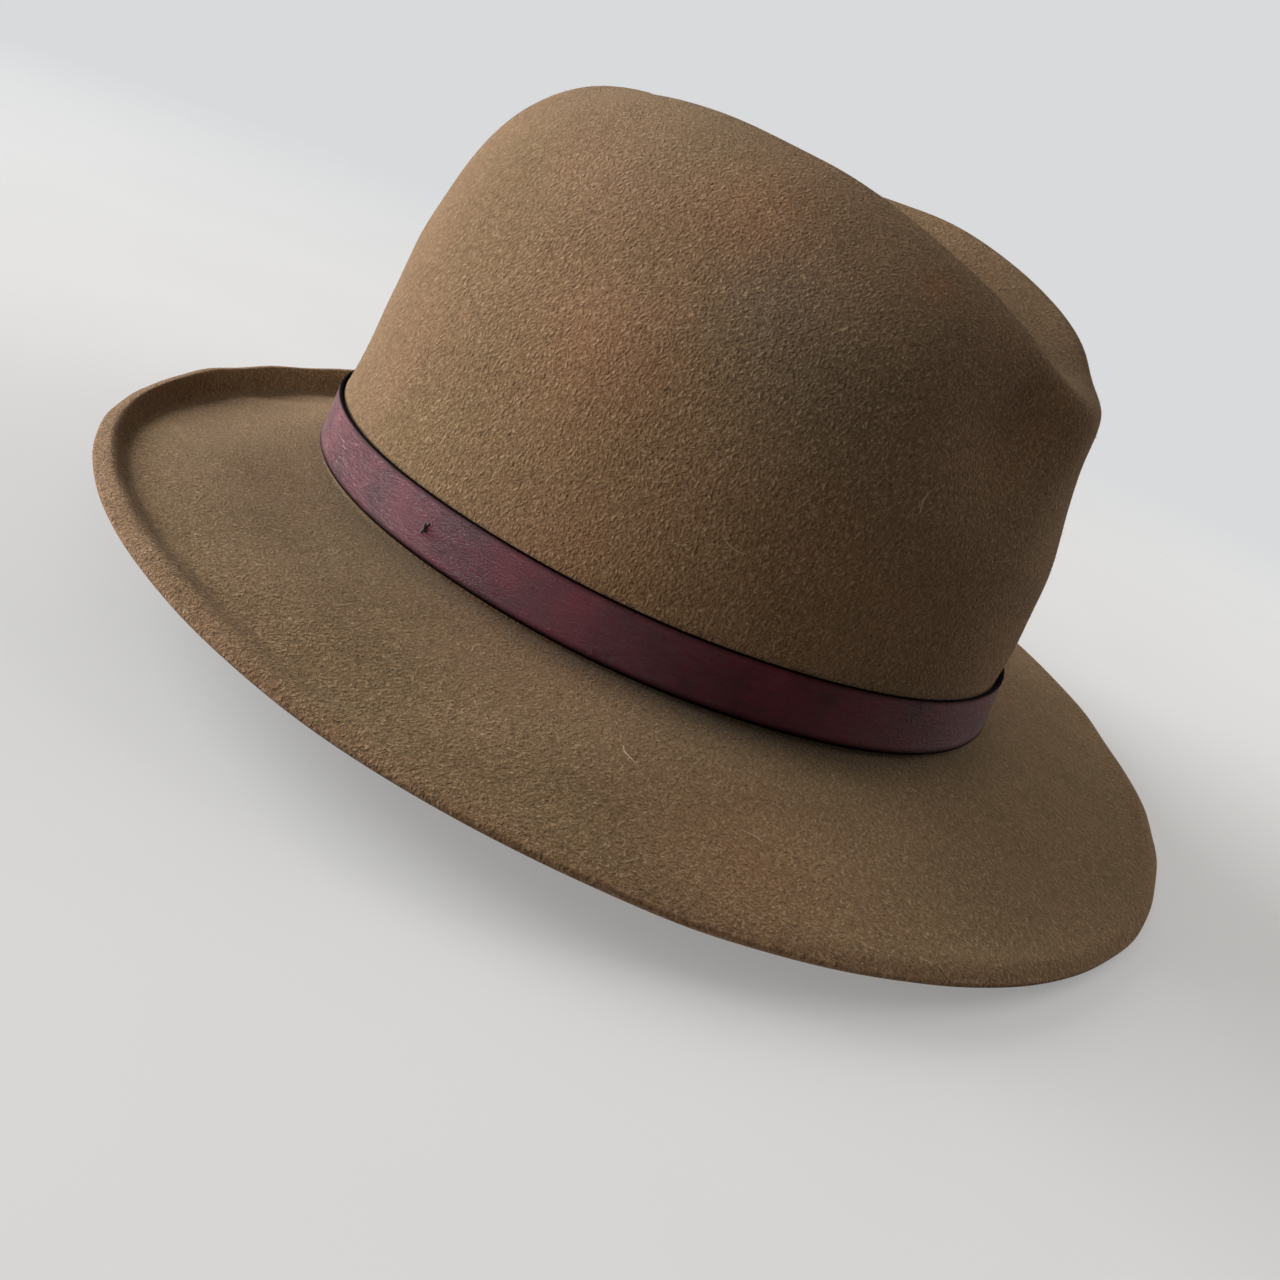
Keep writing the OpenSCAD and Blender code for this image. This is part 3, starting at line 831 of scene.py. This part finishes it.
def make_bow(material):
    """Small flat bow of ribbed ribbon at the back of the sweatband."""
    centre = wall_below(np.array([math.pi]), np.array([0.55]), np.array([SWEAT_IN + 1.6]))[0]
    inward, side, up = np.array([1.0, 0, 0]), np.array([0, 1.0, 0]), np.array([0, 0, 1.0])
    parts, lengths = [], []
    for way in (-1, 1):
        t = np.linspace(0, 1, 40)
        reach = 9.2 * np.sin(math.pi * t)
        open_up = 1.5 * np.sin(2 * math.pi * t)
        droop = -1.0 * np.sin(math.pi * t) ** 2
        loop = (centre + (way * (0.5 + reach))[:, None] * side + open_up[:, None] * inward
                + droop[:, None] * up + 1.5 * inward)
        parts.append(ribbon(loop, up, 4.6, 0.42))
        tail_t = np.linspace(0, 1, 24)
        tail = (centre + (way * 7.5 * tail_t)[:, None] * side - (7.0 * tail_t ** 1.3)[:, None] * up
                + (0.3 + 0.5 * np.sin(3 * tail_t))[:, None] * inward)
        across = unit(np.array([0, way * 7.0, 7.5]))
        parts.append(ribbon(tail, across, 4.0, 0.4))
    angle = np.linspace(0, 2 * math.pi, 25)
    knot = (centre + 1.6 * inward + (1.7 * np.cos(angle))[:, None] * side
            + (1.9 * np.sin(angle))[:, None] * inward)
    parts.append(ribbon(knot, up, 3.4, 0.7))
    points, faces, along, first = [], [], [], 0
    for part in parts:
        m, k = part.shape[:2]
        faces += grid_faces(m, k, first=first)
        faces.append([first + j for j in range(k)])
        faces.append([first + (m - 1) * k + j for j in range(k - 1, -1, -1)])
        run = np.concatenate([[0], np.cumsum(np.linalg.norm(np.diff(part[:, 0], axis=0), axis=1))])
        width = np.array([-2, -1.2, 1.2, 2, 2, 1.2, -1.2, -2.0])
        along.append(xyz(run[:, None], width[None, :], 0.0).reshape(-1, 3))
        points.append(part.reshape(-1, 3))
        first += m * k
    piece = add_mesh("ribbon_bow", np.concatenate(points), faces, material)
    store(piece, "along", np.concatenate(along))
    return piece


# ---------------------------------------------------------------------------
# Lining
# ---------------------------------------------------------------------------
def cloth_rings(places, phis, pleats):
    """Outer and inner rings of lining cloth; pleats push it into the hollow."""
    thickness = 0.32
    v, phi = places[:, None], phis[None, :]
    at_felt = felt_below(phi, v, LINING_OUT + 0 * v * phi)
    inner = felt_below(phi, v, LINING_IN + pleats)
    return inner + thickness * unit(at_felt - inner), inner


def make_lining_side(material):
    phis = turn(720)
    places = np.linspace(LINING_SEAM + 0.012, 2.45, 60)
    fade = np.clip((2.0 - places) / (2.0 - LINING_SEAM), 0, 1)[:, None]
    angle = phis[None, :]
    fold = (np.sin(46 * angle + 1.4 * np.sin(5 * angle)) * 0.5 + 0.5) ** 1.6
    billow = 0.5 + 0.5 * np.sin(9 * angle + 2.0 * np.sin(2 * angle))
    pleats = fade * (1.15 * fold + 1.0 * billow * (1 - fade)) + 0.05
    outer, inner = cloth_rings(places, phis, pleats)
    sections = np.concatenate([outer[::-1], inner]).transpose(1, 0, 2)
    piece = sweep("lining_wall_satin", sections, True, material)
    run = np.concatenate([places[::-1], places]) * 50
    store(piece, "along", xyz((phis * LINING_RADIUS)[:, None], run[None, :], 0.0).reshape(-1, 3))
    return piece


def make_lining_tip(material):
    phis = turn(480)
    places = np.linspace(0.04, LINING_SEAM - 0.012, 60)
    points = on_grid(FACE, phis[None, :], places[:, None])
    pleats = 0.25 + 0.35 * (ripple(points, 34, 8) * 0.5 + 0.5)
    outer, inner = cloth_rings(places, phis, pleats)
    middle = outer[0].mean(0)
    rings = np.concatenate([outer, inner[::-1]])
    piece = spindle("lining_tip_satin", rings, middle, inner[0].mean(0), material)
    spread = rings.reshape(-1, 3)
    store(piece, "along", np.concatenate([[middle], spread, [middle]]))
    return piece


def make_piping(material):
    """Twisted cord in the seam between the lining's wall and tip."""
    phis = turn(900)
    centre = felt_below(phis, LINING_SEAM + 0 * phis, LINING_IN + 1.4 + 0 * phis)
    sides = 12
    angle = np.arange(sides) * 2 * math.pi / sides
    lobes = 0.78 + 0.13 * np.abs(np.sin(1.0 * angle[None, :] + 110 * phis[:, None]))
    out = outward(phis)[:, None]
    around = np.cos(angle)[None, :, None] * out + np.sin(angle)[None, :, None] * np.array([0, 0, 1.0])
    piece = sweep("lining_piping_cord", centre[:, None] + lobes[..., None] * around, True, material)
    u = np.broadcast_to((phis * LINING_RADIUS)[:, None], (len(phis), sides))
    store(piece, "along", xyz(u, angle[None, :] * 0.8, 0.0).reshape(-1, 3))
    return piece


def make_size_tab(material):
    phis = np.linspace(math.radians(150), math.radians(158), 30)
    profile = strip_profile(1.19, 1.32, LINING_IN + 1.1, LINING_IN + 1.4, 20, corner=2)
    piece = strip("size_tab_cloth", phis, profile, material)
    store_along(piece, phis, profile)
    return piece


# ---------------------------------------------------------------------------
# The hat
# ---------------------------------------------------------------------------
M = {
    "felt": felt_material(),
    "nap": fibre_material("felt_fibres", rgb(168, 136, 102)),
    "hair": fibre_material("pale_hair", rgb(214, 190, 160)),
    "band": leather_material("plum_leather", rgb(104, 42, 52), rgb(66, 23, 31), rgb(9, 6, 6), rough=0.44),
    "sweat": leather_material("sweatband_leather", rgb(146, 104, 66), rgb(118, 80, 50),
                              rgb(70, 44, 26), 0.5, 0.5),
    "black": thread_material("black_thread", rgb(20, 18, 18)),
    "tan": thread_material("tan_thread", rgb(176, 146, 110)),
    "tape": woven_material("cotton_tape", rgb(58, 46, 38)),
    "bow": woven_material("ribbed_ribbon", rgb(50, 36, 32), 1.4, 0.3),
    "satin": satin_material("lining_satin", rgb(126, 74, 58), rgb(96, 54, 44)),
    "piping": satin_material("piping_satin", rgb(72, 42, 36), rgb(52, 30, 26)),
    "tab": woven_material("tab_cloth", rgb(214, 204, 180), 2.6),
    "reed": plastic_material("reed_plastic", rgb(214, 208, 190)),
}


def show(nodes):
    """Lets the piece stand for the CAD nodes by hiding them."""
    if nodes:
        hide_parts(*nodes)


def bend(piece, slot, *nodes):
    """A felt piece that crosses the front hinge."""
    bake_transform(piece)
    show(nodes)


def wear(piece, slot, *nodes):
    """A piece that stays with the crown."""
    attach(piece, "crown")
    show(nodes)


bend(make_felt(M["felt"]), "felt", "felt_body", "felt_brim_front")
bend(make_nap(M["nap"], 42000), "felt")
wear(make_stray_hairs(M["hair"]), "felt")
wear(make_band(M["band"]), "band_leather", "hat_band")
wear(make_tacks(M["black"]), "black_thread", "band_tacks")
wear(make_lap_stitches(M["black"]), "black_thread", "band_lap_stitches")
wear(make_sweatband(M["sweat"]), "sweat_leather", "sweatband")
wear(make_reed_tape(M["tape"]), "tape_cloth", "reed_tape")
wear(make_sweat_stitches(M["tan"]), "tan_thread", "sweatband_stitching")
wear(make_seam_stitches(M["tan"]), "tan_thread", "sweatband_seam_stitches")
wear(make_back_tape(M["tape"]), "tape_cloth", "sweatband_back_tape")
wear(make_bow(M["bow"]), "bow_ribbon", "sweatband_bow")
wear(make_lining_side(M["satin"]), "lining_satin", "lining_side")
wear(make_lining_tip(M["satin"]), "lining_satin", "lining_tip")
wear(make_piping(M["piping"]), "piping_satin", "lining_piping")
wear(make_size_tab(M["tab"]), "tab_cloth", "size_tab")
for reed_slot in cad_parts["sweatband_reed"].material_slots:
    reed_slot.material = M["reed"]

# ---------------------------------------------------------------------------
# Studio: floor, light and camera
# ---------------------------------------------------------------------------
def camera_axes(azimuth, elevation, roll):
    """Right, up and back directions of a camera turned by roll about its own axis."""
    a, e, r = (math.radians(x) for x in (azimuth, elevation, roll))
    back = Vector((math.sin(a) * math.cos(e), -math.cos(a) * math.cos(e), math.sin(e)))
    level = (-back).cross(Vector((0, 0, 1))).normalized()
    rise = level.cross(-back)
    right = level * math.cos(r) - rise * math.sin(r)
    up = level * math.sin(r) + rise * math.cos(r)
    return right, up, back


RIGHT, UP, BACK = camera_axes(27.3, 21.24, -22.68)
CAMERA_DISTANCE = 0.3765
AIM_RIGHT, AIM_UP = -0.0037, -0.0246
FOCAL_LENGTH = 36.06


def make_camera():
    data = bpy.data.cameras.new("camera")
    data.lens = FOCAL_LENGTH
    data.sensor_width = 36.0
    data.clip_start = 0.01
    camera = bpy.data.objects.new("camera", data)
    bpy.context.scene.collection.objects.link(camera)
    turned = Matrix((RIGHT, UP, BACK)).transposed().to_4x4()
    turned.translation = AIM_RIGHT * RIGHT + AIM_UP * UP + CAMERA_DISTANCE * BACK
    camera.matrix_world = turned
    bpy.context.scene.camera = camera


def make_light(name, direction, distance, size, watts, color):
    data = bpy.data.lights.new(name, "AREA")
    data.shape = "RECTANGLE"
    data.size, data.size_y = size
    data.energy = watts
    data.color = color
    light = bpy.data.objects.new(name, data)
    light.visible_camera = False
    bpy.context.scene.collection.objects.link(light)
    aim = Vector((0, 0, 0.04))
    direction = Vector(direction).normalized()
    light.location = aim + distance * direction
    light.rotation_euler = direction.to_track_quat("Z", "Y").to_euler()


def make_world(seen, dim, bright, towards):
    """Pale surroundings to the camera; as light they are brighter on the window's side."""
    world = bpy.data.worlds.new("studio")
    bpy.context.scene.world = world
    n = Nodes(world)
    facing = n.add("VectorMath", {0: n.add("TexCoord").outputs["Generated"],
                                  1: Vector(towards).normalized()}, operation="DOT_PRODUCT")
    colour = n.mix(n.span(facing.outputs["Value"], -0.8, 1.0), dim, bright)
    cast = n.add("Background", {"Color": colour, "Strength": 1.0}).outputs[0]
    pale = n.add("Background", {"Color": (*seen, 1.0), "Strength": 1.0}).outputs[0]
    camera_ray = n.add("LightPath").outputs["Is Camera Ray"]
    mix = n.add("MixShader", {"Fac": camera_ray, 1: cast, 2: pale}).outputs[0]
    n.tree.links.new(mix, n.add("OutputWorld").inputs["Surface"])


def make_floor(seen):
    """Pale floor that fades into the surroundings and can't be seen from below."""
    n = new_material("floor")
    low = CAD_BOX[0][2]
    place = n.add("NewGeometry")
    away = n.add("VectorMath", {0: place.outputs["Position"]}, operation="LENGTH").outputs["Value"]
    fade = n.span(away, 0.25, 0.9)
    hidden = n.math("MAXIMUM", fade, place.outputs["Backfacing"])
    cloud = n.noise(place.outputs["Position"], 9, 4.0)
    base = n.mix(cloud, (0.33, 0.33, 0.325), (0.37, 0.37, 0.365))
    camera_ray = n.add("LightPath").outputs["Is Camera Ray"]
    base = n.mix(camera_ray, (0.14, 0.135, 0.13), base)
    matt = n.add("BsdfDiffuse", {"Color": base}).outputs[0]
    shine = n.math("MULTIPLY", camera_ray, 0.36)
    glow = n.add("Emission", {"Color": (*seen, 1.0), "Strength": shine}).outputs[0]
    lit = n.add("AddShader", {0: matt, 1: glow}).outputs[0]
    clear = n.add("BsdfTransparent").outputs[0]
    surface = n.add("MixShader", {"Fac": hidden, 1: lit, 2: clear}).outputs[0]
    output = n.add("OutputMaterial")
    n.tree.links.new(surface, output.inputs["Surface"])
    reach = 2.0
    mesh = bpy.data.meshes.new("floor")
    corners = [(-reach, -reach, 0), (reach, -reach, 0), (reach, reach, 0), (-reach, reach, 0)]
    mesh.from_pydata(corners, [], [(0, 1, 2, 3)])
    mesh.materials.append(n.owner)
    floor = bpy.data.objects.new("floor", mesh)
    floor.location.z = low - 0.002
    bpy.context.scene.collection.objects.link(floor)


PALE = (0.69, 0.70, 0.71)
make_camera()
make_world(seen=PALE, dim=(0.065, 0.055, 0.045), bright=(0.56, 0.53, 0.50), towards=(-0.85, -0.2, 0.4))
make_floor(PALE)
make_light("window", (-0.93, -0.26, 0.23), 2.2, (1.8, 1.2), 143.0, (1.0, 1.0, 1.02))
make_light("pale_wall", (-0.5, -0.85, 0.08), 1.2, (0.8, 0.4), 6.0, (1.0, 0.98, 0.97))
make_light("under_glow", (0, 0, -1), 0.0603, (0.30, 0.30), 0.16, (1.0, 0.97, 0.94))
make_light("bounce", (0.5, 0.8, 0.4), 1.2, (0.9, 0.9), 11.0, (1.0, 0.95, 0.9))
bpy.context.scene.view_settings.view_transform = "Standard"
